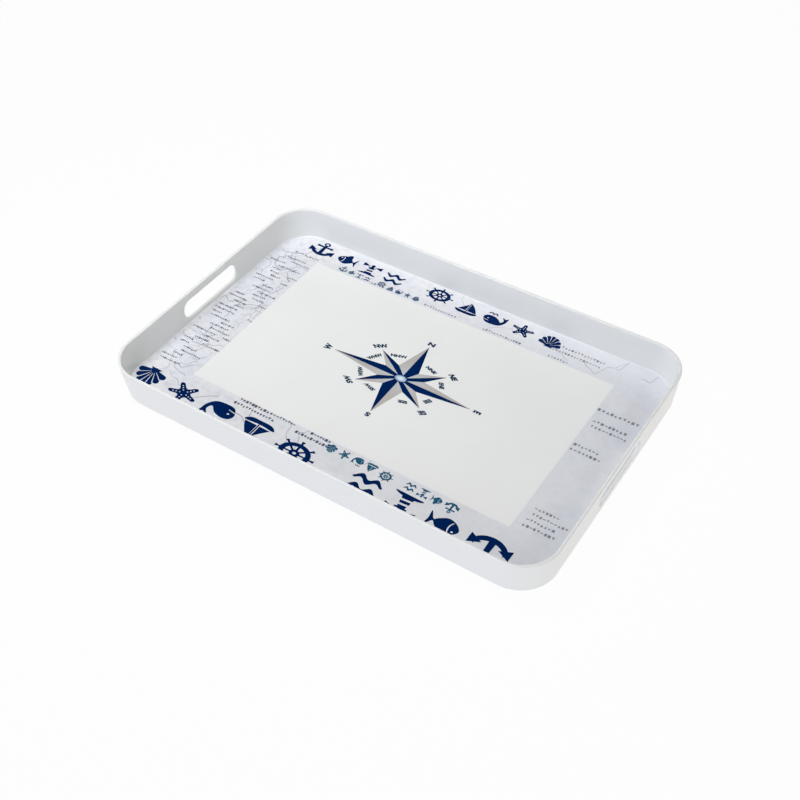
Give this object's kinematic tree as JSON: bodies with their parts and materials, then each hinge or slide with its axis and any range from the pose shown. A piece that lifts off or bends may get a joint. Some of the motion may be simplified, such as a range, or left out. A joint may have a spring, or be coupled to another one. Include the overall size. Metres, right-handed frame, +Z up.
{
  "type": "serving tray",
  "caption": "Shallow rectangular serving tray in white moulded plastic, with rounded corners, a hand slot in each end wall, and a printed map border round a compass rose.",
  "frame": {"origin": "middle of the foot, on the surface that the tray stands on", "axes": "+X along the long side, from one hand slot to the other; +Y to the back; +Z up out of the tray"},
  "size_m": [0.4608, 0.3032, 0.04],
  "materials": {
    "resin": "satin white melamine moulding",
    "map_paper": "pale lilac printed foil under a clear glaze",
    "panel_paper": "white foil under a clear glaze",
    "light_ink": "warm grey ink",
    "dark_ink": "navy ink",
    "boss_ink": "pale blue ink",
    "glaze": "clear gloss melamine film"
  },
  "bodies": {
    "root": {"tray_shell": "resin", "map_border_foil": "map_paper", "centre_panel_foil": "panel_paper", "compass_light_print": "light_ink", "compass_dark_print": "dark_ink", "compass_boss_print": "boss_ink", "clear_glaze": "glaze"}
  },
  "joints": []
}
